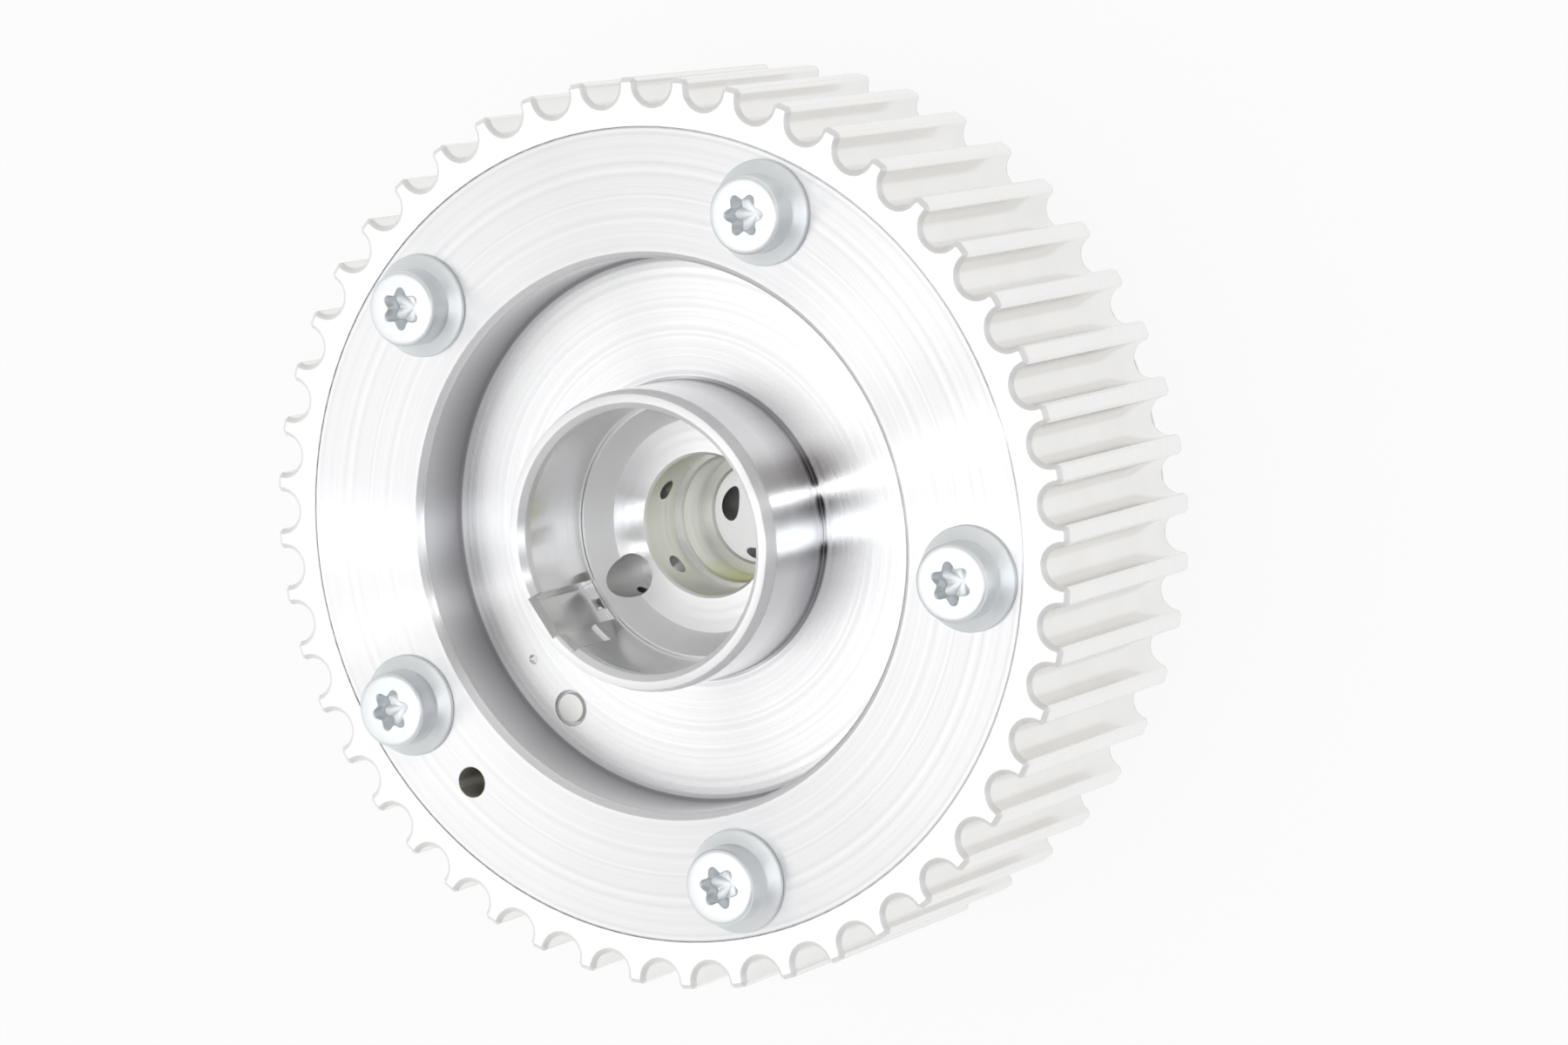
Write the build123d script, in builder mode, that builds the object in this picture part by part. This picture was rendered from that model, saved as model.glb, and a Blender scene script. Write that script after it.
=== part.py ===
from build123d import *
from math import cos, pi, radians, sin
import os

# Toothed belt pulley for a camshaft, with a five-chamber hydraulic phaser inside it.
# The belt drives the toothed housing; the camshaft is bolted to the rotor, which oil
# pressure turns inside the housing. The frame stands on the front plate: +Z runs along
# the shaft axis, from the front plate to the oil-seal sleeve that meets the engine.

# Belt teeth
tooth_count = 48
belt_pitch = 8.0
pitch_line_height = 0.69
groove_depth = 3.43
groove_r = 2.6
tooth_tip_bevel = 0.5
groove_first_angle = 1.4
tooth_end_chamfer = 0.6

# Axial stack, from the face it stands on
front_plate_t = 6.0
chamber_height = 23.0
cover_flange_t = 14.5
cover_web_t = 5.0
sleeve_proud = 5.05
front_spigot = 2.0

# Radii of the housing, its plates and its chambers
cover_r = 54.0
front_plate_r = 53.5
housing_front_r = 54.6
chamber_r = 42.5
hub_r = 27.0
edge_break = 0.4
cover_edge_break = 0.2

# Clamping screws
screw_count = 5
screw_circle_r = 46.4
first_screw_angle = 18.0
screw_r = 2.95
screw_clearance = 0.35
thread_clearance = 0.05
screw_flange_r = 6.9
screw_flange_t = 1.3
screw_head_r = 5.1
screw_head_height = 5.2
screw_tip_recess = 1.0
socket_r = 2.8
socket_depth = 2.9
socket_lobe_width = 1.9

# Oil-seal sleeve and the recess around it
sleeve_r = 20.0
sleeve_rim_r = 19.5
sleeve_lead_in = 1.6
sleeve_bore_r = 17.6
bore_mouth_chamfer = 0.8
recess_r = 36.8
recess_mouth_chamfer = 0.9
recess_floor_fillet = 0.9
sleeve_root_fillet = 0.8

# Oil notch milled along the bore of the sleeve, with a shallow step beside it and an
# oblique oil drilling at its deep end
notch_angle = 165.8
notch_width = 6.2
notch_depth = 1.0
step_angle = 180.5
step_width = 3.4
step_depth = 0.4
step_length = 9.0
drilling_r = 0.9
drilling_rise = 1.3
drilling_lean = 30.0
drilling_depth = 5.0

# Locating dowel between cover and housing, and the wider index hole that opens above it
dowel_angle = 179.1
dowel_circle_r = 45.8
dowel_r = 1.5
dowel_length = 12.0
dowel_in_housing = 7.0
dowel_clearance = 0.1
dowel_press = 0.02
index_hole_r = 2.1
index_hole_depth = 9.0

# Webs of the housing and vanes of the rotor, as angles at the shaft axis
web_angle = 22.0
vane_angle = 13.0
wide_vane_angle = 27.4
phaser_travel = 22.0
stop_clearance = 0.3
chamber_fillet = 1.5
running_clearance = 0.08
face_clearance = 0.04

# Rotor: nose, camshaft seat, stepped oil gallery and bolt bore
nose_bore_r = 18.0
nose_clearance = 0.05
nose_end_clearance = 0.1
nose_land = 0.75
nose_height = 4.5
seat_r = 14.5
seat_drop = 3.3
gallery_r = 9.5
gallery_depth = 8.0
gallery_step_r = 8.5
gallery_step_depth = 5.6
bolt_bore_r = 6.8
bolt_spot_r = 13.0
bolt_spot_depth = 0.45
bore_chamfer = 0.35
cam_dowel_hole_r = 2.9
cam_dowel_circle_r = 13.7
cam_dowel_angle = 161.8
cam_dowel_depth = 7.0
advance_port_r = 2.4
advance_port_z = 12.0
advance_port_offset = 4.0
retard_port_r = 1.4
retard_port_z = 26.0
retard_port_offset = 3.0

# Tip seals and the bowed leaf springs under them
seal_width = 2.1
seal_height = 3.0
seal_slot_clearance = 0.05
seal_end_clearance = 0.15
spring_space = 1.3
leaf_t = 0.25
leaf_width = 1.7
leaf_end_gap = 1.2
leaf_clearance = 0.05

# Lock pin in the wide vane, and its bush in the cover
lock_angle = 181.9
lock_circle_r = 32.2
lock_pin_r = 3.4
lock_pin_length = 14.0
lock_pin_nose = 3.0
lock_pin_nose_r = 3.15
lock_pin_sink = 0.15
lock_pin_clearance = 0.05
pin_pocket_r = 2.4
pin_pocket_depth = 10.5
spring_wire = 0.5
spring_coil_r = 1.9
spring_turns = 4
cap_t = 2.4
cap_vent_r = 0.8
bush_r = 5.0
bush_height = 4.0
bush_pocket_depth = 3.4
bush_pocket_clearance = 0.25
bush_tail_r = 1.95
bush_tail_gap = 0.5
press_gap = 0.01
punch_mark_r = 0.6
punch_mark_depth = 0.6
punch_mark_circle_r = 31.9
punch_mark_angle = 166.5

# Front plate and the face seals
plug_thread_r = 15.2
plug_thread_chamfer = 1.0
front_relief_inner_r = 22.0
front_relief_outer_r = 39.0
front_relief_depth = 0.8
ring_circle_r = 51.8
front_ring_circle_r = 51.3
ring_width = 1.5
ring_height = 1.35
ring_groove_clearance = 0.1

# Derived heights
z_chamber = front_plate_t
z_cover = z_chamber + chamber_height
z_face = z_cover + cover_flange_t
z_recess = z_cover + cover_web_t
z_sleeve = z_face + sleeve_proud
z_rim = z_chamber + front_spigot
z_rotor = z_chamber + face_clearance
z_rotor_top = z_cover - face_clearance
z_nose = z_cover + nose_height
z_seat = z_nose - seat_drop
z_spring_cap = z_rotor + cap_t

# Derived radii
pitch_r = tooth_count * belt_pitch / (2 * pi)
tip_r = pitch_r - pitch_line_height
groove_floor_r = tip_r - groove_depth
flank_height = groove_depth - groove_r
tip_bevel = min(tooth_tip_bevel, 0.6 * flank_height)
end_chamfer = min(tooth_end_chamfer, 2 * (flank_height - tip_bevel))
vane_tip_r = chamber_r - running_clearance
web_tip_r = hub_r + running_clearance
slot_width = seal_width + 2 * seal_slot_clearance
slot_depth = seal_height + spring_space
seal_length = z_rotor_top - z_rotor - 2 * seal_end_clearance

# Derived angles
screw_step = 360 / screw_count
screw_angles = [first_screw_angle + i * screw_step for i in range(screw_count)]
web_angles = screw_angles
chamber_angles = [angle + screw_step / 2 for angle in web_angles]
chamber_angle = screw_step - web_angle
lock_chamber = 2
wide_vane_centre = chamber_angles[lock_chamber] - chamber_angle / 2 + stop_clearance + wide_vane_angle / 2
vane_angles = [angle - phaser_travel / 2 for angle in chamber_angles]
vane_angles[lock_chamber] = wide_vane_centre
vane_widths = [vane_angle] * screw_count
vane_widths[lock_chamber] = wide_vane_angle

os.makedirs("parts", exist_ok=True)


def polar(radius, angle):
    """The point at this radius and angle about the shaft axis."""
    return (radius * cos(radians(angle)), radius * sin(radians(angle)))


def radial_plane(angle):
    """The plane through the shaft axis whose X runs outwards at this angle and whose Y is +Z."""
    outward = (cos(radians(angle)), sin(radians(angle)), 0)
    across = (sin(radians(angle)), -cos(radians(angle)), 0)
    return Plane(origin=(0, 0, 0), x_dir=outward, z_dir=across)


def sector(centre, width, inner, outer):
    """A sector of a ring, as a flat sketch that add() puts into the open one."""
    start = centre - width / 2
    end = centre + width / 2
    with BuildSketch(Plane.XY, mode=Mode.PRIVATE) as shape:
        with BuildLine():
            Line(polar(inner, start), polar(outer, start))
            ThreePointArc(polar(outer, start), polar(outer, centre), polar(outer, end))
            Line(polar(outer, end), polar(inner, end))
            ThreePointArc(polar(inner, end), polar(inner, centre), polar(inner, start))
        make_face()
    return shape.sketch


# Toothed housing: one piece of aluminium, with the belt teeth outside, five chambers
# inside and a deep seat for the cover. The webs between the chambers carry the screws.
with BuildPart() as toothed_housing:
    with BuildSketch(Plane.XY.offset(z_rim)) as tooth_profile:
        Circle(tip_r)
        with PolarLocations(groove_floor_r + groove_r, tooth_count, start_angle=groove_first_angle):
            Circle(groove_r, mode=Mode.SUBTRACT)
            Rectangle(2 * groove_depth, 2 * groove_r, align=(Align.MIN, Align.CENTER), mode=Mode.SUBTRACT)
        tips = [v for v in tooth_profile.vertices() if abs(Vector(v.X, v.Y).length - tip_r) < 0.01]
        chamfer(tips, tip_bevel)
    extrude(amount=z_face - z_rim)
    chamfer(toothed_housing.edges().group_by(Axis.Z)[-1], end_chamfer)
    with BuildSketch(Plane.XY.offset(z_chamber)):
        Circle(housing_front_r)
    extrude(amount=front_spigot)

    with BuildSketch(Plane.XY.offset(z_chamber)) as chambers:
        Circle(web_tip_r)
        for angle in chamber_angles:
            add(sector(angle, chamber_angle, hub_r / 2, chamber_r))
        corners = [v for v in chambers.vertices() if abs(Vector(v.X, v.Y).length - chamber_r) < 0.01]
        fillet(corners, chamber_fillet)
    extrude(amount=chamber_height, mode=Mode.SUBTRACT)
    with BuildSketch(Plane.XY.offset(z_cover)):
        Circle(cover_r + running_clearance / 2)
    extrude(amount=cover_flange_t, mode=Mode.SUBTRACT)

    with BuildSketch(Plane.XY.offset(z_chamber)):
        with PolarLocations(screw_circle_r, screw_count, start_angle=first_screw_angle):
            Circle(screw_r + screw_clearance)
    extrude(amount=chamber_height, mode=Mode.SUBTRACT)
    with BuildSketch(Plane.XY.offset(z_cover - dowel_in_housing)):
        with Locations(polar(dowel_circle_r, dowel_angle)):
            Circle(dowel_r + dowel_press)
    extrude(amount=dowel_in_housing, mode=Mode.SUBTRACT)
    for angle in web_angles:
        with BuildSketch(radial_plane(angle)):
            with Locations((web_tip_r - 1, z_chamber)):
                Rectangle(1 + slot_depth, chamber_height, align=(Align.MIN, Align.MIN))
        extrude(amount=slot_width / 2, both=True, mode=Mode.SUBTRACT)

    groove_width = ring_width + 2 * ring_groove_clearance
    groove_height = ring_height + ring_groove_clearance
    with BuildSketch(Plane.XY.offset(z_cover - groove_height)):
        Circle(ring_circle_r + groove_width / 2)
        Circle(ring_circle_r - groove_width / 2, mode=Mode.SUBTRACT)
    extrude(amount=groove_height, mode=Mode.SUBTRACT)
    with BuildSketch(Plane.XY.offset(z_chamber)):
        Circle(front_ring_circle_r + groove_width / 2)
        Circle(front_ring_circle_r - groove_width / 2, mode=Mode.SUBTRACT)
    extrude(amount=groove_height, mode=Mode.SUBTRACT)
toothed_housing.part.label = "toothed_housing"
export_step(toothed_housing.part, "parts/toothed_housing.step")

# Journal cover: one turned steel piece that closes the chambers. Its ground sleeve runs
# in the engine's oil seal, and its bore takes the end of the camshaft.
with BuildPart() as journal_cover:
    with BuildSketch(Plane.XZ) as cover_section:
        with BuildLine():
            Polyline(
                (nose_bore_r, z_cover),
                (cover_r, z_cover),
                (cover_r, z_face - cover_edge_break),
                (cover_r - cover_edge_break, z_face),
                (recess_r + recess_mouth_chamfer, z_face),
                (recess_r, z_face - recess_mouth_chamfer),
                (recess_r, z_recess),
                (sleeve_r, z_recess),
                (sleeve_r, z_sleeve - sleeve_lead_in),
                (sleeve_rim_r, z_sleeve),
                (sleeve_bore_r + bore_mouth_chamfer, z_sleeve),
                (sleeve_bore_r, z_sleeve - bore_mouth_chamfer),
                (sleeve_bore_r, z_nose + nose_end_clearance),
                (nose_bore_r, z_nose + nose_end_clearance),
                close=True,
            )
        make_face()
        recess_corners = [v for v in cover_section.vertices() if abs(v.Y - z_recess) < 0.01]
        fillet([v for v in recess_corners if v.X > recess_r - 1], recess_floor_fillet)
        fillet([v for v in recess_corners if v.X < sleeve_r + 1], sleeve_root_fillet)
    revolve(axis=Axis.Z)

    with BuildSketch(Plane.XY.offset(z_cover)):
        with PolarLocations(screw_circle_r, screw_count, start_angle=first_screw_angle):
            Circle(screw_r + screw_clearance)
        with Locations(polar(dowel_circle_r, dowel_angle)):
            Circle(dowel_r + dowel_clearance)
    extrude(amount=cover_flange_t, mode=Mode.SUBTRACT)
    with BuildSketch(Plane.XY.offset(z_face)):
        with Locations(polar(dowel_circle_r, dowel_angle)):
            Circle(index_hole_r)
    extrude(amount=-index_hole_depth, mode=Mode.SUBTRACT)
    with BuildSketch(Plane.XY.offset(z_cover)):
        with Locations(polar(lock_circle_r, lock_angle)):
            Circle(bush_r + press_gap)
    extrude(amount=bush_height, mode=Mode.SUBTRACT)
    with BuildSketch(Plane.XY.offset(z_cover)):
        with Locations(polar(lock_circle_r, lock_angle)):
            Circle(bush_tail_r + bush_tail_gap)
    extrude(amount=cover_web_t, mode=Mode.SUBTRACT)
    with BuildSketch(Plane.XY.offset(z_recess)):
        with Locations(polar(punch_mark_circle_r, punch_mark_angle)):
            Circle(punch_mark_r)
    extrude(amount=-punch_mark_depth, mode=Mode.SUBTRACT)

    with BuildSketch(radial_plane(notch_angle)):
        with Locations((sleeve_bore_r - 2, z_nose + nose_end_clearance)):
            Rectangle(2 + notch_depth, z_sleeve - z_nose, align=(Align.MIN, Align.MIN))
    extrude(amount=notch_width / 2, both=True, mode=Mode.SUBTRACT)
    notch_floor = polar(sleeve_bore_r + notch_depth, notch_angle)
    drilling_start = notch_floor + (z_nose + nose_end_clearance + drilling_rise,)
    drilling_way = polar(sin(radians(drilling_lean)), notch_angle) + (-cos(radians(drilling_lean)),)
    with BuildSketch(Plane(origin=drilling_start, z_dir=drilling_way)):
        Circle(drilling_r)
    extrude(amount=drilling_depth, mode=Mode.SUBTRACT)
    with BuildSketch(radial_plane(step_angle)):
        with Locations((sleeve_bore_r - 2, z_sleeve - step_length)):
            Rectangle(2 + step_depth, step_length + 1, align=(Align.MIN, Align.MIN))
    extrude(amount=step_width / 2, both=True, mode=Mode.SUBTRACT)
journal_cover.part.label = "journal_cover"
export_step(journal_cover.part, "parts/journal_cover.step")

# Front plate: a turned steel disc, tapped for the screws and for the closing plug.
with BuildPart() as front_plate:
    with BuildSketch():
        Circle(front_plate_r)
        Circle(plug_thread_r, mode=Mode.SUBTRACT)
        with PolarLocations(screw_circle_r, screw_count, start_angle=first_screw_angle):
            Circle(screw_r + thread_clearance, mode=Mode.SUBTRACT)
    extrude(amount=front_plate_t)
    outer_edges = front_plate.edges().filter_by(GeomType.CIRCLE)
    chamfer([e for e in outer_edges if abs(e.radius - front_plate_r) < 0.01], edge_break)
    mouth = [e for e in outer_edges if abs(e.radius - plug_thread_r) < 0.01 and e.center().Z < 1]
    chamfer(mouth, plug_thread_chamfer)
    with BuildSketch():
        Circle(front_relief_outer_r)
        Circle(front_relief_inner_r, mode=Mode.SUBTRACT)
    extrude(amount=front_relief_depth, mode=Mode.SUBTRACT)
front_plate.part.label = "front_plate"
export_step(front_plate.part, "parts/front_plate.step")

# Cover screws: five alike, with a flange under the head and a six-lobe socket. They pass
# through the cover and the webs into the tapped front plate.
with BuildPart() as cover_screw:
    with BuildSketch(Plane.XZ) as screw_section:
        with BuildLine():
            Polyline(
                (0, screw_tip_recess),
                (screw_r, screw_tip_recess),
                (screw_r, z_face),
                (screw_flange_r, z_face),
                (screw_flange_r, z_face + screw_flange_t / 2),
                (screw_head_r, z_face + screw_flange_t),
                (screw_head_r, z_face + screw_head_height - edge_break),
                (screw_head_r - edge_break, z_face + screw_head_height),
                (0, z_face + screw_head_height),
                close=True,
            )
        make_face()
    revolve(axis=Axis.Z)
    with BuildSketch(Plane.XY.offset(z_face + screw_head_height)):
        with PolarLocations(0, 3):
            Rectangle(2 * socket_r, socket_lobe_width)
    extrude(amount=-socket_depth, mode=Mode.SUBTRACT)
with BuildPart() as cover_screws:
    with PolarLocations(screw_circle_r, screw_count, start_angle=first_screw_angle):
        add(cover_screw.part)
cover_screws.part.label = "cover_screws"
export_step(cover_screws.part, "parts/cover_screws.step")

# Locating dowel: a plain pin, pressed into the housing. It ends in the cover just under
# the floor of the index hole.
with BuildPart() as locating_dowel:
    with BuildSketch(Plane.XY.offset(z_cover - dowel_in_housing)):
        with Locations(polar(dowel_circle_r, dowel_angle)):
            Circle(dowel_r)
    extrude(amount=dowel_length)
    chamfer(locating_dowel.edges().filter_by(GeomType.CIRCLE), edge_break)
locating_dowel.part.label = "locating_dowel"
export_step(locating_dowel.part, "parts/locating_dowel.step")

# Face seals: two rubber rings of square section, one under each plate.
for name, circle_r, z_groove in [
    ("cover_seal_ring", ring_circle_r, z_cover - ring_height),
    ("front_seal_ring", front_ring_circle_r, z_chamber),
]:
    with BuildPart() as seal_ring:
        with BuildSketch(Plane.XY.offset(z_groove)):
            Circle(circle_r + ring_width / 2)
            Circle(circle_r - ring_width / 2, mode=Mode.SUBTRACT)
        extrude(amount=ring_height)
    seal_ring.part.label = name
    export_step(seal_ring.part, f"parts/{name}.step")

# Rotor: one piece of aluminium. Its nose turns in the cover and seats the camshaft, and
# its five vanes share the chambers with the oil. The wide vane carries the lock pin.
with BuildPart() as rotor:
    with BuildSketch(Plane.XY.offset(z_rotor)):
        Circle(hub_r)
    extrude(amount=z_rotor_top - z_rotor)
    with BuildSketch(Plane.XY.offset(z_rotor)) as vanes:
        for angle, width in zip(vane_angles, vane_widths):
            add(sector(angle, width, hub_r / 2, vane_tip_r))
        tips = [v for v in vanes.vertices() if abs(Vector(v.X, v.Y).length - vane_tip_r) < 0.01]
        fillet(tips, chamber_fillet)
    extrude(amount=z_rotor_top - z_rotor)
    with BuildSketch(Plane.XY.offset(z_rotor_top)):
        Circle(nose_bore_r - nose_clearance)
    extrude(amount=z_nose - z_rotor_top)

    with BuildSketch(Plane.XZ):
        with BuildLine():
            Polyline(
                (0, z_nose + 1),
                (nose_bore_r - nose_clearance - nose_land, z_nose + 1),
                (nose_bore_r - nose_clearance - nose_land, z_nose),
                (seat_r, z_seat),
                (gallery_r + bore_chamfer, z_seat),
                (gallery_r, z_seat - bore_chamfer),
                (gallery_r, z_seat - gallery_depth),
                (gallery_step_r + bore_chamfer, z_seat - gallery_depth),
                (gallery_step_r, z_seat - gallery_depth - bore_chamfer),
                (gallery_step_r, z_seat - gallery_depth - gallery_step_depth),
                (bolt_bore_r + bore_chamfer, z_seat - gallery_depth - gallery_step_depth),
                (bolt_bore_r, z_seat - gallery_depth - gallery_step_depth - bore_chamfer),
                (bolt_bore_r, z_rotor + bolt_spot_depth),
                (bolt_spot_r, z_rotor + bolt_spot_depth),
                (bolt_spot_r, z_rotor - 1),
                (0, z_rotor - 1),
                close=True,
            )
        make_face()
    revolve(axis=Axis.Z, mode=Mode.SUBTRACT)

    with BuildSketch(Plane.XY.offset(z_seat - cam_dowel_depth)):
        with Locations(polar(cam_dowel_circle_r, cam_dowel_angle)):
            Circle(cam_dowel_hole_r)
    extrude(amount=z_nose - z_seat + cam_dowel_depth, mode=Mode.SUBTRACT)
    with BuildSketch(Plane.XY.offset(z_rotor)):
        with Locations(polar(lock_circle_r, lock_angle)):
            Circle(lock_pin_r + lock_pin_clearance)
    extrude(amount=z_rotor_top - z_rotor, mode=Mode.SUBTRACT)

    for angle, width in zip(vane_angles, vane_widths):
        with BuildSketch(radial_plane(angle)):
            with Locations((vane_tip_r + 1, z_rotor)):
                Rectangle(1 + slot_depth, z_rotor_top - z_rotor, align=(Align.MAX, Align.MIN))
        extrude(amount=slot_width / 2, both=True, mode=Mode.SUBTRACT)
        advance_angle = angle + width / 2 + advance_port_offset
        with BuildSketch(Plane(origin=(0, 0, advance_port_z), z_dir=polar(1, advance_angle) + (0,))):
            Circle(advance_port_r)
        extrude(amount=hub_r + 1, mode=Mode.SUBTRACT)
        retard_angle = angle - width / 2 - retard_port_offset
        with BuildSketch(Plane(origin=(0, 0, retard_port_z), z_dir=polar(1, retard_angle) + (0,))):
            Circle(retard_port_r)
        extrude(amount=hub_r + 1, mode=Mode.SUBTRACT)
rotor.part.label = "rotor"
export_step(rotor.part, "parts/rotor.step")

# Tip seals and leaf springs: a strip in the tip of each vane and of each web, pushed out
# by a bowed spring that lies along the floor of its slot.
z_seal = z_rotor + seal_end_clearance
z_middle = (z_rotor + z_rotor_top) / 2
leaf_half = (z_rotor_top - z_rotor) / 2 - leaf_end_gap
for i in range(screw_count):
    vane_floor_r = vane_tip_r - slot_depth
    web_floor_r = web_tip_r + slot_depth
    vane_seal_r = chamber_r - leaf_clearance - seal_height
    web_seal_r = hub_r + leaf_clearance
    for name, angle, seal_inner_r, floor_r, outward in [
        (f"vane_seal_{i + 1}", vane_angles[i], vane_seal_r, vane_floor_r, 1),
        (f"web_seal_{i + 1}", web_angles[i], web_seal_r, web_floor_r, -1),
    ]:
        with BuildPart() as tip_seal:
            with BuildSketch(radial_plane(angle)):
                with Locations((seal_inner_r, z_seal)):
                    Rectangle(seal_height, seal_length, align=(Align.MIN, Align.MIN))
            extrude(amount=seal_width / 2, both=True)
        tip_seal.part.label = name
        export_step(tip_seal.part, f"parts/{name}.step")

        crown = spring_space - 2 * leaf_clearance - leaf_t
        foot_r = floor_r + outward * leaf_clearance
        name = name.replace("seal", "spring")
        with BuildPart() as leaf_spring:
            with BuildSketch(radial_plane(angle)):
                with BuildLine():
                    inner = ThreePointArc(
                        (foot_r, z_middle - leaf_half),
                        (foot_r + outward * crown, z_middle),
                        (foot_r, z_middle + leaf_half),
                    )
                    outer = ThreePointArc(
                        (foot_r + outward * leaf_t, z_middle - leaf_half),
                        (foot_r + outward * (crown + leaf_t), z_middle),
                        (foot_r + outward * leaf_t, z_middle + leaf_half),
                    )
                    Line(inner @ 0, outer @ 0)
                    Line(inner @ 1, outer @ 1)
                make_face()
            extrude(amount=leaf_width / 2, both=True)
        leaf_spring.part.label = name
        export_step(leaf_spring.part, f"parts/{name}.step")

# Lock pin: hardened steel, hollow behind for its spring. It is drawn where oil pressure
# holds it in running, just under the face of the rotor.
z_pin_tip = z_rotor_top - lock_pin_sink
z_pin_back = z_pin_tip - lock_pin_length
with BuildPart() as lock_pin:
    with BuildSketch(Plane.XY.offset(z_pin_back)):
        with Locations(polar(lock_circle_r, lock_angle)):
            Circle(lock_pin_r)
    extrude(amount=lock_pin_length - lock_pin_nose)
    with BuildSketch(Plane.XY.offset(z_pin_tip - lock_pin_nose)):
        with Locations(polar(lock_circle_r, lock_angle)):
            Circle(lock_pin_nose_r)
    extrude(amount=lock_pin_nose)
    chamfer(lock_pin.edges().group_by(Axis.Z)[-1], edge_break)
    with BuildSketch(Plane.XY.offset(z_pin_back)):
        with Locations(polar(lock_circle_r, lock_angle)):
            Circle(pin_pocket_r)
    extrude(amount=pin_pocket_depth, mode=Mode.SUBTRACT)
lock_pin.part.label = "lock_pin"
export_step(lock_pin.part, "parts/lock_pin.step")

# Spring cap: closes the bore of the lock pin at the front face of the rotor, with a vent.
with BuildPart() as spring_cap:
    with BuildSketch(Plane.XY.offset(z_rotor)):
        with Locations(polar(lock_circle_r, lock_angle)):
            Circle(lock_pin_r + lock_pin_clearance - press_gap)
            Circle(cap_vent_r, mode=Mode.SUBTRACT)
    extrude(amount=cap_t)
spring_cap.part.label = "spring_cap"
export_step(spring_cap.part, "parts/spring_cap.step")

# Lock spring: a coil between the cap and the bottom of the pocket in the lock pin.
spring_start = z_spring_cap + spring_wire
spring_end = z_pin_back + pin_pocket_depth - spring_wire
with BuildPart() as lock_spring:
    with BuildLine() as coil:
        Helix(
            pitch=(spring_end - spring_start) / spring_turns,
            height=spring_end - spring_start,
            radius=spring_coil_r,
            center=polar(lock_circle_r, lock_angle) + (spring_start,),
        )
    with BuildSketch(Plane(origin=coil.line @ 0, z_dir=coil.line % 0)):
        Rectangle(spring_wire, spring_wire)
    sweep(is_frenet=True)
lock_spring.part.label = "lock_spring"
export_step(lock_spring.part, "parts/lock_spring.step")

# Lock bush: hardened, pressed into the cover from the chamber side. Its tail shows as a
# ring in the floor of the recess, and the lock pin enters its mouth when it locks.
with BuildPart() as lock_bush:
    with BuildSketch(Plane.XY.offset(z_cover)):
        with Locations(polar(lock_circle_r, lock_angle)):
            Circle(bush_r)
    extrude(amount=bush_height)
    with BuildSketch(Plane.XY.offset(z_cover)):
        with Locations(polar(lock_circle_r, lock_angle)):
            Circle(bush_tail_r)
    extrude(amount=cover_web_t)
    with BuildSketch(Plane.XY.offset(z_cover)):
        with Locations(polar(lock_circle_r, lock_angle)):
            Circle(lock_pin_nose_r + bush_pocket_clearance)
    extrude(amount=bush_pocket_depth, mode=Mode.SUBTRACT)
lock_bush.part.label = "lock_bush"
export_step(lock_bush.part, "parts/lock_bush.step")
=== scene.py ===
import bmesh
import bpy
from math import atan2, cos, pi, radians
from mathutils import Euler, Matrix, Vector


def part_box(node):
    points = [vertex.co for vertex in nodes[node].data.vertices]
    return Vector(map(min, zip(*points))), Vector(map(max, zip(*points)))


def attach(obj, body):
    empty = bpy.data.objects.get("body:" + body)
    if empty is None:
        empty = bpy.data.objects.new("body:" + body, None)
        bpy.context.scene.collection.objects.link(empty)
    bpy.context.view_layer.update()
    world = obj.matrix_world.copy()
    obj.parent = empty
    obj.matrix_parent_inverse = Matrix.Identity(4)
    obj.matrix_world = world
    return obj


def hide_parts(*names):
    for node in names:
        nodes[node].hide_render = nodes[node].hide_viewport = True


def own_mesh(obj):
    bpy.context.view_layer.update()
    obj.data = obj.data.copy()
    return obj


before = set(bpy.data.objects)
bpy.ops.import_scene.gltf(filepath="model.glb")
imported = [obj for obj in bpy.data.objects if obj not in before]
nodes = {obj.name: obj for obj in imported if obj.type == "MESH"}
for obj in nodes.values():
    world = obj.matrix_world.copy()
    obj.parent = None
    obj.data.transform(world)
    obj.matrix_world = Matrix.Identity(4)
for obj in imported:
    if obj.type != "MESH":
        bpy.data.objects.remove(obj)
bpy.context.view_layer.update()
scene = bpy.context.scene
scene.view_settings.view_transform = "Standard"


# Camera: a long lens that looks down on the cover from one side, as in the photograph. It
# stands 0.7 m from the cover, so the far side of the rim looks hardly smaller.
camera_data = bpy.data.cameras.new("camera")
camera_data.lens = 122.04
camera_data.sensor_width = 36
camera_data.clip_start = 0.05
camera_data.clip_end = 20
camera = bpy.data.objects.new("camera", camera_data)
camera.location = (0.298079, -0.214917, 0.637689)
camera.rotation_euler = Euler((radians(-8.05866), radians(29.36435), radians(-51.56412)))
scene.collection.objects.link(camera)
scene.camera = camera


# Studio: a white room for the metal to reflect, with a fan of dark and bright screens high on
# the camera's side, which make the bands on the sleeve. The camera sees the room as plain white.
def feed(tree, node, values):
    """Fills a node's inputs, by name or number: a socket is linked, anything else written in."""
    for key, value in values.items():
        if isinstance(value, bpy.types.NodeSocket):
            tree.links.new(value, node.inputs[key])
        else:
            node.inputs[key].default_value = value


def add_node(tree, kind, values=None, **settings):
    """A new node with its settings and its inputs."""
    node = tree.nodes.new(kind)
    for key, value in settings.items():
        setattr(node, key, value)
    feed(tree, node, values or {})
    return node


def math_node(tree, operation, *values, clamp=False):
    """What a Math node makes of numbers or sockets."""
    inputs = dict(enumerate(values))
    return add_node(tree, "ShaderNodeMath", inputs, operation=operation, use_clamp=clamp).outputs[0]


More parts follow.
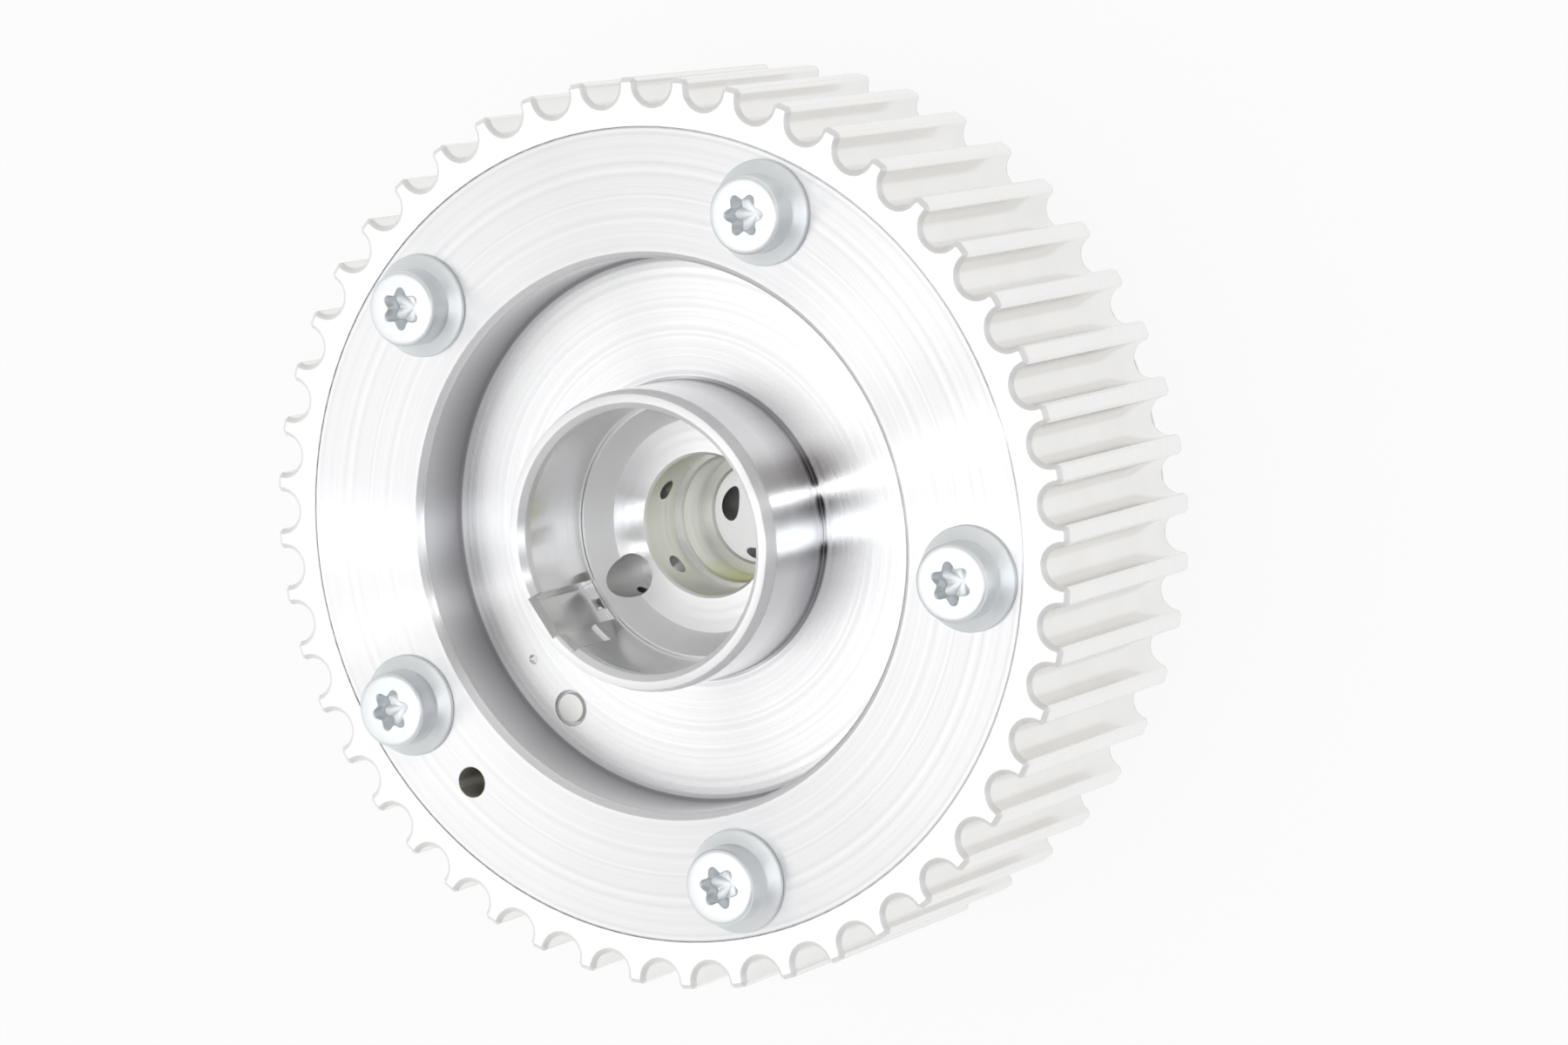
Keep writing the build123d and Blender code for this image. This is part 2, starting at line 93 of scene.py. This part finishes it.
def fade(tree, value, start, end, before=0.0, after=1.0):
    """Goes from one number to another while a value goes from start to end."""
    return add_node(tree, "ShaderNodeMapRange", {
        "Value": value, "From Min": start, "From Max": end, "To Min": before, "To Max": after,
    }).outputs[0]


def blend_colors(tree, share, first, second):
    """Mixes two colours, given as tuples or sockets."""
    first, second = ((*color, 1) if isinstance(color, tuple) else color for color in (first, second))
    mix = add_node(tree, "ShaderNodeMix", {"Factor": share, 6: first, 7: second}, data_type="RGBA")
    return mix.outputs[2]


studio = bpy.data.worlds.new("studio")
studio.use_nodes = True
scene.world = studio
tree = studio.node_tree
tree.nodes.clear()
towards_camera = (0.814, -0.581, 0.0)
across_view = (0.581, 0.814, 0.0)
upwards = (0.0, 0.0, 1.0)
reflected = add_node(tree, "ShaderNodeTexCoord").outputs["Generated"]
front, side, up = (
    add_node(tree, "ShaderNodeVectorMath", {0: reflected, 1: axis}, operation="DOT_PRODUCT").outputs["Value"]
    for axis in (towards_camera, across_view, upwards)
)

# The screens, as degrees in the fan and shade: grey, black, blue-white, black, white, and a
# brown-black that clears to white. The fan spreads from a point behind the pulley's middle.
screen_shades = [
    (-70, 1.0), (-60, (0.66, 0.64, 0.68)), (-27, (0.52, 0.50, 0.54)), (-24, 0.35), (-21.5, 0.03), (-18, 0.03),
    (-16, (0.92, 0.96, 1.0)), (-9.5, (0.92, 0.96, 1.0)), (-7, 0.2), (-5, 0.02), (0, 0.02),
    (1.8, 1.0), (3.8, 1.0), (5.5, 0.05), (15, (0.14, 0.11, 0.09)), (18, 0.5), (24, 1.0),
]
fan_setback = 0.505
fan_turn = math_node(tree, "ARCTAN2", side, math_node(tree, "ADD", front, fan_setback))
screens = add_node(tree, "ShaderNodeValToRGB", {0: math_node(tree, "MULTIPLY_ADD", fan_turn, 1 / pi, 0.5)})
while len(screens.color_ramp.elements) < len(screen_shades):
    screens.color_ramp.elements.new(0.5)
for stop, (degrees, shade) in zip(screens.color_ramp.elements, screen_shades):
    stop.position = degrees / 180 + 0.5
    stop.color = (*shade, 1) if isinstance(shade, tuple) else (shade, shade, shade, 1)
in_front = fade(tree, front, 0.0, 0.15)
high_up = fade(tree, up, 0.5, 0.62)
where_hung = math_node(tree, "MULTIPLY", in_front, high_up)
room_color = blend_colors(tree, where_hung, (1, 1, 1), screens.outputs[0])
room_strength = fade(tree, math_node(tree, "ABSOLUTE", side), 0.25, 0.5, before=0.9, after=0.7)
room = add_node(tree, "ShaderNodeBackground", {"Color": room_color, "Strength": room_strength})
plain_white = add_node(tree, "ShaderNodeBackground", {"Color": (1, 1, 1, 1), "Strength": 1.0})
by_camera = add_node(tree, "ShaderNodeLightPath").outputs["Is Camera Ray"]
shown = add_node(tree, "ShaderNodeMixShader", {0: by_camera, 1: room.outputs[0], 2: plain_white.outputs[0]})
add_node(tree, "ShaderNodeOutputWorld", {0: shown.outputs[0]})

pulley_middle = Vector((0, 0, 0.03))


def soft_lamp(name, place, size, power, tint=(1, 1, 1)):
    """A rectangular softbox that faces the middle of the pulley."""
    data = bpy.data.lights.new(name, "AREA")
    data.shape = "RECTANGLE"
    data.size, data.size_y = size
    data.energy = power
    data.color = tint
    lamp = bpy.data.objects.new(name, data)
    lamp.location = place
    lamp.rotation_euler = (pulley_middle - Vector(place)).to_track_quat("-Z", "Y").to_euler()
    lamp.visible_camera = False
    scene.collection.objects.link(lamp)


soft_lamp("lamp_overhead", (-0.55, 0.4, 1.15), size=(1.1, 0.8), power=0.3)
soft_lamp("lamp_axial", (-0.195, 0.139, 1.17), size=(0.8, 0.8), power=1.6)
soft_lamp("strip_narrow", (0.52, -0.30, 1.04), size=(0.06, 0.7), power=0.6)
soft_lamp("strip_wide", (0.28, -0.53, 1.04), size=(0.16, 0.7), power=0.8, tint=(0.94, 0.97, 1.0))


# Floor: a sheet of white paper just under the pulley. The camera and the metal see it as white
# with a faint shadow, it bounces light into the teeth, and from below it is clear.
def put_in_scene(bm, name, sharp_over=None):
    """Makes a bmesh into an object, smooth but for edges sharper than an angle in degrees."""
    mesh = bpy.data.meshes.new(name)
    bm.to_mesh(mesh)
    bm.free()
    if sharp_over is not None:
        for face in mesh.polygons:
            face.use_smooth = True
        mesh.set_sharp_from_angle(angle=radians(sharp_over))
    made = bpy.data.objects.new(name, mesh)
    scene.collection.objects.link(made)
    return made


floor_radius = 2.5
just_below = Matrix.Translation((0, 0, -0.0001))
bm = bmesh.new()
bmesh.ops.create_circle(bm, cap_ends=True, segments=64, radius=floor_radius, matrix=just_below)
floor = put_in_scene(bm, "floor")

floor_paper = bpy.data.materials.new("floor_paper")
floor_paper.use_nodes = True
tree = floor_paper.node_tree
tree.nodes.clear()
white_share = 0.9
ray = add_node(tree, "ShaderNodeLightPath")
looked_at = math_node(tree, "MAXIMUM", ray.outputs["Is Camera Ray"], ray.outputs["Is Glossy Ray"])
white_part = math_node(tree, "MULTIPLY", looked_at, white_share)
paper = add_node(tree, "ShaderNodeBsdfDiffuse", {"Color": (0.86, 0.86, 0.86, 1)})
paper_white = add_node(tree, "ShaderNodeEmission", {"Color": (1, 1, 1, 1), "Strength": 1.0})
above = add_node(tree, "ShaderNodeMixShader", {0: white_part, 1: paper.outputs[0], 2: paper_white.outputs[0]})
below = add_node(tree, "ShaderNodeBsdfTransparent")
from_below = add_node(tree, "ShaderNodeNewGeometry").outputs["Backfacing"]
sheet = add_node(tree, "ShaderNodeMixShader", {0: from_below, 1: above.outputs[0], 2: below.outputs[0]})
add_node(tree, "ShaderNodeOutputMaterial", {0: sheet.outputs[0]})
floor.data.materials.append(floor_paper)


# Toothed housing: cast aluminium, turned on its ends and tips, with the tooth grooves left
# finely blasted. The grooves' colour is a little darker, partly for the blasted finish and partly
# as painted shade. Its edges are broken, and a little duller at the cover's end.
def make_group(name, inputs, outputs):
    """An empty node group with number sockets, and its input and output nodes."""
    group = bpy.data.node_groups.new(name, "ShaderNodeTree")
    for socket, value in inputs.items():
        made = group.interface.new_socket(name=socket, in_out="INPUT", socket_type="NodeSocketFloat")
        made.default_value = value
    for socket in outputs:
        group.interface.new_socket(name=socket, in_out="OUTPUT", socket_type="NodeSocketFloat")
    return group, group.nodes.new("NodeGroupInput"), group.nodes.new("NodeGroupOutput")


def place_on_piece(tree):
    """A point in the object's own coordinates."""
    return add_node(tree, "ShaderNodeTexCoord").outputs["Object"]


def shaft_coordinates(tree):
    """Radius, turn (-0.5 to 0.5) and height of a point about the shaft axis, in metres."""
    x, y, z = add_node(tree, "ShaderNodeSeparateXYZ", {0: place_on_piece(tree)}).outputs
    squares = math_node(tree, "ADD", math_node(tree, "MULTIPLY", x, x), math_node(tree, "MULTIPLY", y, y))
    turn = math_node(tree, "DIVIDE", math_node(tree, "ARCTAN2", y, x), 2 * pi)
    return math_node(tree, "SQRT", squares), turn, z


# Group: lathe marks. Fine rings on a flat face and fine threads on a cylinder, uneven in
# depth, with a slow cloudiness over them.
lathe_group, given, result = make_group(
    "lathe_marks", {"Feed": 0.0003, "Cloud": 0.012}, ("Height", "Streaks", "Clouds")
)
radius, turn, z = shaft_coordinates(lathe_group)
along = math_node(lathe_group, "ADD", radius, z)
rings = math_node(lathe_group, "DIVIDE", along, given.outputs["Feed"])
wound = math_node(lathe_group, "ADD", rings, turn)
wave = math_node(lathe_group, "SINE", math_node(lathe_group, "MULTIPLY", wound, 2 * pi))
streaks_per_ring = 0.37
streaks = add_node(
    lathe_group, "ShaderNodeTexNoise",
    {"W": math_node(lathe_group, "MULTIPLY", rings, streaks_per_ring), "Scale": 1.0, "Detail": 3.0},
    noise_dimensions="1D",
)
clouds = add_node(lathe_group, "ShaderNodeTexNoise", {
    "Vector": place_on_piece(lathe_group),
    "Scale": math_node(lathe_group, "DIVIDE", 1.0, given.outputs["Cloud"]),
    "Detail": 4.0, "Roughness": 0.6,
})
feed(lathe_group, result, {
    "Height": math_node(lathe_group, "MULTIPLY", wave, streaks.outputs[0]),
    "Streaks": streaks.outputs[0],
    "Clouds": clouds.outputs[0],
})

# Group: blasted grain. The fine even grain of a cast or bead-blasted surface.
grain_group, given, result = make_group("blasted_grain", {"Size": 0.0003}, ("Height", "Mottle"))
mottles_per_metre = 90.0
fine = add_node(grain_group, "ShaderNodeTexNoise", {
    "Vector": place_on_piece(grain_group),
    "Scale": math_node(grain_group, "DIVIDE", 1.0, given.outputs["Size"]),
    "Detail": 3.0, "Roughness": 0.7,
})
broad = add_node(grain_group, "ShaderNodeTexNoise", {
    "Vector": place_on_piece(grain_group), "Scale": mottles_per_metre, "Detail": 4.0, "Roughness": 0.6,
})
feed(grain_group, result, {"Height": fine.outputs[0], "Mottle": broad.outputs[0]})


def place_group(tree, group, **values):
    """Puts a node group into a material with its own values."""
    return add_node(tree, "ShaderNodeGroup", values, node_tree=group)


def blend_numbers(tree, share, first, second):
    """Mixes two numbers, given as sockets."""
    return add_node(tree, "ShaderNodeMix", {"Factor": share, 2: first, 3: second}).outputs[0]


def between(tree, value, low, high, soft=0.0002):
    """A mask that is 1 while a value lies between two others."""
    over_low = fade(tree, value, low - soft, low + soft)
    under_high = fade(tree, value, high - soft, high + soft, before=1.0, after=0.0)
    return math_node(tree, "MULTIPLY", over_low, under_high)


def both(tree, mask, other_mask):
    """A mask that is 1 where two masks are."""
    return math_node(tree, "MULTIPLY", mask, other_mask)


def spread(tree, noise, low, high):
    """A noise, which is mostly 0.3 to 0.7, spread over a range."""
    return fade(tree, noise, 0.3, 0.7, low, high)


def mottled(tree, noise, dull, bright):
    """A colour that wanders between two as a noise does."""
    return blend_colors(tree, spread(tree, noise, 0, 1), dull, bright)


def new_finish(name, metallic=1.0, anisotropy=0.0):
    """A finish, brushed round the shaft if it is anisotropic; returns its material, tree and shader."""
    finish = bpy.data.materials.new(name)
    finish.use_nodes = True
    shader = finish.node_tree.nodes["Principled BSDF"]
    feed(finish.node_tree, shader, {"Metallic": metallic, "Anisotropic": anisotropy})
    if anisotropy:
        round_shaft = add_node(finish.node_tree, "ShaderNodeTangent", direction_type="RADIAL", axis="Z")
        feed(finish.node_tree, shader, {"Anisotropic Rotation": 0.25, "Tangent": round_shaft.outputs[0]})
    return finish, finish.node_tree, shader


def bump(tree, shader, height, depth, edge_radius=0.00012):
    """Raises a height as bumps this deep, over edges that are rounded a little."""
    rounded = add_node(tree, "ShaderNodeBevel", {"Radius": edge_radius}, samples=4)
    bumps = add_node(tree, "ShaderNodeBump", {
        "Strength": 1.0, "Distance": depth, "Height": height, "Normal": rounded.outputs[0],
    })
    feed(tree, shader, {"Normal": bumps.outputs[0]})


def dress(finish, *names):
    """Gives a finish to CAD nodes by name."""
    for name in names:
        nodes[name].data.materials.clear()
        nodes[name].data.materials.append(finish)


turned_aluminium = ((0.89, 0.89, 0.885), (0.92, 0.92, 0.915))
# Partly painted shade: the grooves' blasted colour is set darker than the turned colour, for the shade in
# them as well as the finish.
blasted_and_shaded_aluminium = ((0.84, 0.835, 0.82), (0.89, 0.885, 0.87))
groove_radii = (0.0545, 0.0600)
end_face_heights = (0.0433, 0.0440)
edge_radii = (0.0545, 0.0620)
edge_heights = (0.0427, 0.04345)
edge_dullness = 0.2
turned_share_of_bump = 0.08
housing_aluminium, tree, shader = new_finish("housing_aluminium")
radius, turn, z = shaft_coordinates(tree)
in_groove = between(tree, radius, *groove_radii, soft=0.00025)
on_end = between(tree, z, *end_face_heights, soft=0.00015)
groove = both(tree, in_groove, math_node(tree, "SUBTRACT", 1.0, on_end))
on_edge = both(tree, between(tree, z, *edge_heights, soft=0.00003), between(tree, radius, *edge_radii))
lathe = place_group(tree, lathe_group, Feed=0.00022, Cloud=0.02)
grain = place_group(tree, grain_group, Size=0.00022)
turned_color = mottled(tree, lathe.outputs["Clouds"], *turned_aluminium)
groove_color_with_painted_shade = mottled(tree, grain.outputs["Mottle"], *blasted_and_shaded_aluminium)
turned_rough = spread(tree, lathe.outputs["Streaks"], 0.26, 0.36)
blasted_rough = spread(tree, grain.outputs["Mottle"], 0.17, 0.23)
rough = blend_numbers(tree, groove, turned_rough, blasted_rough)
turned_height = math_node(tree, "MULTIPLY", lathe.outputs["Height"], turned_share_of_bump)
feed(tree, shader, {
    "Base Color": blend_colors(tree, groove, turned_color, groove_color_with_painted_shade),
    "Roughness": math_node(tree, "MULTIPLY_ADD", on_edge, edge_dullness, rough),
})
height = blend_numbers(tree, groove, turned_height, grain.outputs["Height"])
bump(tree, shader, height, depth=0.000008, edge_radius=0.0003)
dress(housing_aluminium, "toothed_housing")


# Journal cover: one turned steel piece, with the sleeve ground bright where the oil seal runs.
# The face and the floor of the recess are finely turned and its wall is left matt. Shade is
# painted into its colour: darker in the corners round the floor and in the index hole.
bright_steel = ((0.87, 0.87, 0.88), (0.91, 0.91, 0.915))
corner_shade_paint = (0.36, 0.35, 0.37)
index_hole_shade_paint = (0.58, 0.57, 0.51)
face_radii = (0.0370, 0.0550)
floor_radii = (0.0206, 0.0362)
floor_heights = (0.0335, 0.0345)
wall_radii = (0.0358, 0.0369)
wall_heights = (0.0340, 0.0427)
sleeve_end_heights = (0.0465, 0.0490)
wall_foot_radii = (0.0363, 0.0369)
sleeve_foot_radii = (0.0195, 0.0205)
floor_polish = -0.07
wall_dullness = 0.42
ground_steel, tree, shader = new_finish("ground_steel", anisotropy=1.0)
radius, turn, z = shaft_coordinates(tree)
lathe = place_group(tree, lathe_group, Feed=0.00028, Cloud=0.03)
on_face = between(tree, radius, *face_radii)
on_floor = both(tree, between(tree, radius, *floor_radii), between(tree, z, *floor_heights))
on_wall = both(tree, between(tree, radius, *wall_radii), between(tree, z, *wall_heights))
on_sleeve_end = between(tree, z, *sleeve_end_heights)
turned = math_node(tree, "MAXIMUM", math_node(tree, "MAXIMUM", on_face, on_floor), on_sleeve_end)

# Painted shade: the steel darkens towards the floor at the foot of the recess wall and of the sleeve.
at_wall_foot = between(tree, radius, *wall_foot_radii, soft=0.0001)
at_sleeve_foot = between(tree, radius, *sleeve_foot_radii, soft=0.0001)
shade_paint_near_floor = fade(tree, z, 0.0346, 0.0415, before=0.75, after=0.0)
painted_corner_shade = both(tree, shade_paint_near_floor, math_node(tree, "MAXIMUM", at_wall_foot, at_sleeve_foot))
# Painted shade: the index hole is coloured darker than the steel round it.
index_hole_middle = (-0.045794, 0.000719, 0.039)
index_hole_reach = 0.0052
below_face = 0.0434
from_hole = add_node(
    tree, "ShaderNodeVectorMath", {0: place_on_piece(tree), 1: index_hole_middle}, operation="DISTANCE"
)
near_hole = math_node(tree, "LESS_THAN", from_hole.outputs["Value"], index_hole_reach)
painted_hole_shade = both(tree, near_hole, math_node(tree, "LESS_THAN", z, below_face))
steel = mottled(tree, lathe.outputs["Clouds"], *bright_steel)
steel_with_painted_shade = blend_colors(tree, painted_corner_shade, steel, corner_shade_paint)

ground_rough = spread(tree, lathe.outputs["Streaks"], 0.12, 0.15)
turned_rough = spread(tree, lathe.outputs["Streaks"], 0.31, 0.37)
rough = blend_numbers(tree, turned, ground_rough, turned_rough)
polished = math_node(tree, "MULTIPLY_ADD", on_floor, floor_polish, rough)
feed(tree, shader, {
    "Base Color": blend_colors(tree, painted_hole_shade, steel_with_painted_shade, index_hole_shade_paint),
    "Roughness": math_node(tree, "MULTIPLY_ADD", on_wall, wall_dullness, polished),
})
bump(tree, shader, lathe.outputs["Height"], depth=0.0000006, edge_radius=0.0002)
dress(ground_steel, "journal_cover")


# Front plate: a turned steel disc with the marks of a coarser feed. The thread for the
# closing plug is cut in its wide opening.
grey_steel = ((0.64, 0.64, 0.64), (0.72, 0.72, 0.715))
thread_radii = (0.0145, 0.0158)
thread_pitch = 0.0015
thread_depth_over_marks = 200.0
plate_steel, tree, shader = new_finish("plate_steel", anisotropy=0.4)
radius, turn, z = shaft_coordinates(tree)
lathe = place_group(tree, lathe_group, Feed=0.00045, Cloud=0.03)
in_thread = between(tree, radius, *thread_radii)
threads = math_node(tree, "SUBTRACT", math_node(tree, "DIVIDE", z, thread_pitch), turn)
ridges = math_node(tree, "MULTIPLY", math_node(tree, "PINGPONG", threads, 0.5), in_thread)
cut_thread = math_node(tree, "MULTIPLY", ridges, thread_depth_over_marks)
feed(tree, shader, {
    "Base Color": mottled(tree, lathe.outputs["Clouds"], *grey_steel),
    "Roughness": spread(tree, lathe.outputs["Streaks"], 0.24, 0.38),
})
bump(tree, shader, math_node(tree, "ADD", cut_thread, lathe.outputs["Height"]), depth=0.000004)
dress(plate_steel, "front_plate")


# Rotor: turned and milled aluminium, with a faced seat for the camshaft at the bottom of the
# sleeve. Oil has left a greenish yellow film on the gallery's walls, thickest on one side,
# where it pooled.
oil_film = (0.80, 0.84, 0.38)
upper_wall_radii = (0.0093, 0.0098)
upper_wall_heights = (0.0225, 0.0300)
upper_wall_film = 0.18
lower_wall_radii = (0.0083, 0.0088)
lower_wall_heights = (0.0168, 0.0221)
lower_wall_film = 0.15
pool_turns = (-0.46, -0.22)
pool_film = 0.8
rotor_aluminium, tree, shader = new_finish("rotor_aluminium", anisotropy=0.2)
radius, turn, z = shaft_coordinates(tree)
lathe = place_group(tree, lathe_group, Feed=0.0003, Cloud=0.02)
on_upper_wall = both(tree, between(tree, radius, *upper_wall_radii), between(tree, z, *upper_wall_heights))
on_lower_wall = both(tree, between(tree, radius, *lower_wall_radii), between(tree, z, *lower_wall_heights))
pooled = between(tree, turn, *pool_turns, soft=0.06)
lower_film = math_node(tree, "MULTIPLY_ADD", pooled, pool_film, lower_wall_film)
lower_film_on_wall = math_node(tree, "MULTIPLY", on_lower_wall, lower_film)
film = math_node(tree, "MULTIPLY_ADD", on_upper_wall, upper_wall_film, lower_film_on_wall, clamp=True)
bare = mottled(tree, lathe.outputs["Clouds"], *turned_aluminium)
feed(tree, shader, {
    "Base Color": blend_colors(tree, film, bare, oil_film),
    "Roughness": spread(tree, lathe.outputs["Streaks"], 0.38, 0.46),
})
bump(tree, shader, lathe.outputs["Height"], depth=0.000002)
dress(rotor_aluminium, "rotor")


# Cover screws: five zinc-plated flange screws with a six-lobe socket, a forged head and a
# plain shank, drawn without its thread, that ends inside the front plate.
def edges_of(ring, edges):
    """Those of the edges that run round a ring."""
    return [e for e in edges if e.verts[0] in ring and e.verts[1] in ring]


def six_lobes(angle):
    """Half the width of the socket at an angle about the screw, in millimetres."""
    lobe = cos(6 * angle)
    return 2.38 + 0.42 * lobe - 0.05 * lobe * lobe


def next_ring(bm, edges, size, height, lobed=False):
    """Extrudes a ring to a height and a radius in mm, or to a size times the socket's outline."""
    drawn = bmesh.ops.extrude_edge_only(bm, edges=edges)["geom"]
    ring = [v for v in drawn if isinstance(v, bmesh.types.BMVert)]
    for v in ring:
        radius = size * six_lobes(atan2(v.co.y, v.co.x)) if lobed else size
        v.co = Vector((v.co.x, v.co.y, 0)).normalized() * radius / 1000 + Vector((0, 0, height / 1000))
    return ring, edges_of(ring, [e for e in drawn if isinstance(e, bmesh.types.BMEdge)])


screw_angles = (18, 90, 162, 234, 306)
socket_angles = (12, 40, 25, 3, 50)
on_screw_circle = Vector((0.0464, 0, 0))

# The rings of a screw from its tip up, as radius and height in millimetres. In the socket the
# first number is a share of its outline.
shank_and_head = [
    (2.95, 1.6), (2.95, 43.5), (6.55, 43.5), (6.84, 43.56), (6.9, 43.7), (6.9, 44.0), (6.84, 44.14),
    (6.6, 44.25), (5.35, 44.72), (5.14, 44.9), (5.1, 45.1), (5.1, 48.15), (5.04, 48.38), (4.86, 48.56),
    (4.6, 48.65), (4.3, 48.7), (3.1, 48.7),
]
socket = [(1.06, 48.7), (1.0, 48.5), (1.0, 45.9), (0.0, 44.9)]
tip_radius = 0.00235
tip_height = 0.001
bm = bmesh.new()
for screw_angle, socket_angle in zip(screw_angles, socket_angles):
    tip = Matrix.Translation((0, 0, tip_height))
    ring = bmesh.ops.create_circle(bm, cap_ends=True, segments=72, radius=tip_radius, matrix=tip)["verts"]
    edges = edges_of(ring, bm.edges)
    points = list(ring)
    for size, height in shank_and_head:
        ring, edges = next_ring(bm, edges, size, height)
        points += ring
    for size, height in socket:
        ring, edges = next_ring(bm, edges, size, height, lobed=True)
        points += ring
    bmesh.ops.remove_doubles(bm, verts=ring, dist=0.00001)
    points = [v for v in points if v.is_valid]
    in_cover = Matrix.Translation(Matrix.Rotation(radians(screw_angle), 3, "Z") @ on_screw_circle)
    tightened = Matrix.Rotation(radians(socket_angle), 4, "Z")
    bmesh.ops.transform(bm, matrix=in_cover @ tightened, verts=points)
bmesh.ops.recalc_face_normals(bm, faces=bm.faces)
flange_screws = put_in_scene(bm, "flange_screws", sharp_over=32)


def grained_finish(name, grain_size, colors, roughness, depth, metallic=1.0):
    """A finish with the blasted grain, mottled between two colours and two roughnesses."""
    finish, tree, shader = new_finish(name, metallic)
    grain = place_group(tree, grain_group, Size=grain_size)
    feed(tree, shader, {
        "Base Color": mottled(tree, grain.outputs["Mottle"], *colors),
        "Roughness": spread(tree, grain.outputs["Mottle"], *roughness),
    })
    bump(tree, shader, grain.outputs["Height"], depth)
    return finish


zinc_plate = ((0.82, 0.85, 0.865), (0.90, 0.92, 0.93))
screw_zinc = grained_finish("screw_zinc", 0.0004, zinc_plate, roughness=(0.36, 0.46), depth=0.000008)
flange_screws.data.materials.append(screw_zinc)
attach(flange_screws, "housing")
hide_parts("cover_screws")


# Lock pin, its bush and cap, and the dowel: hardened steel, ground to a duller finish than the
# sleeve and fitted in bores. Only the tail of the bush shows, in the floor of the recess.
pale_steel = ((0.85, 0.85, 0.83), (0.90, 0.90, 0.88))
hard_steel = grained_finish("hard_steel", 0.0005, pale_steel, roughness=(0.40, 0.50), depth=0.000002)
dress(hard_steel, "lock_bush", "lock_pin", "spring_cap", "locating_dowel")


# Leaf springs: bowed strips of blued steel. One lies in the slot behind each tip seal, and
# presses it against the wall that it slides along.
blued_steel = ((0.20, 0.22, 0.30), (0.36, 0.36, 0.40))
spring_steel = grained_finish("spring_steel", 0.0004, blued_steel, roughness=(0.22, 0.34), depth=0.000002)
dress(spring_steel, *[f"{kind}_spring_{i}" for kind in ("vane", "web") for i in range(1, 6)])


# Lock spring: a coil of the same blued steel in round wire with closed ends, between the cap
# and the bottom of the lock pin's pocket. It is made at one length here; in the pump it gets
# shorter as oil pushes the pin back.
spring_low, spring_high = (Vector(corner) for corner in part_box("lock_spring"))
wire_radius = 0.00025
coil_radius = 0.0019
closed_pitch = 0.00056
working_turns = 4
working_pitch = (spring_high.z - spring_low.z - 2 * wire_radius - 2 * closed_pitch) / working_turns
steps_per_turn = 40
coil_middle = (spring_low + spring_high) / 2
coil_foot = Vector((coil_middle.x, coil_middle.y, spring_low.z + wire_radius))
wire_start = Matrix.Translation(coil_foot + Vector((coil_radius, 0, 0))) @ Matrix.Rotation(pi / 2, 4, "X")
bm = bmesh.new()
bmesh.ops.create_circle(bm, cap_ends=True, segments=12, radius=wire_radius, matrix=wire_start)
wire_end = bm.verts[:] + bm.edges[:] + bm.faces[:]
for turns, pitch in [(1, closed_pitch), (working_turns, working_pitch), (1, closed_pitch)]:
    wire_end = bmesh.ops.spin(
        bm, geom=wire_end, cent=coil_foot, axis=(0, 0, 1), dvec=(0, 0, pitch / steps_per_turn),
        angle=2 * pi * turns, steps=steps_per_turn * turns, use_duplicate=False,
    )["geom_last"]
bmesh.ops.recalc_face_normals(bm, faces=bm.faces)
lock_spring_coil = put_in_scene(bm, "lock_spring_coil", sharp_over=50)
lock_spring_coil.data.materials.append(spring_steel)
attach(lock_spring_coil, "rotor")
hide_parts("lock_spring")
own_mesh(lock_spring_coil)


# Tip seals: strips of dark filled plastic that lie in slots in the tips of the vanes and
# webs, on their leaf springs, and part the oil chambers.
filled_plastic = ((0.10, 0.085, 0.07), (0.17, 0.15, 0.125))
seal_strip = grained_finish(
    "seal_strip", 0.0003, filled_plastic, roughness=(0.45, 0.6), depth=0.00001, metallic=0.0
)
dress(seal_strip, *[f"{kind}_seal_{i}" for kind in ("vane", "web") for i in range(1, 6)])


# Face seals: moulded rubber rings in grooves of the housing, one under the cover and one at
# the front plate. The screws press both plates down on them.
black_rubber = ((0.022, 0.022, 0.022), (0.045, 0.045, 0.045))
ring_rubber = grained_finish(
    "ring_rubber", 0.0002, black_rubber, roughness=(0.5, 0.7), depth=0.00001, metallic=0.0
)
dress(ring_rubber, "cover_seal_ring", "front_seal_ring")
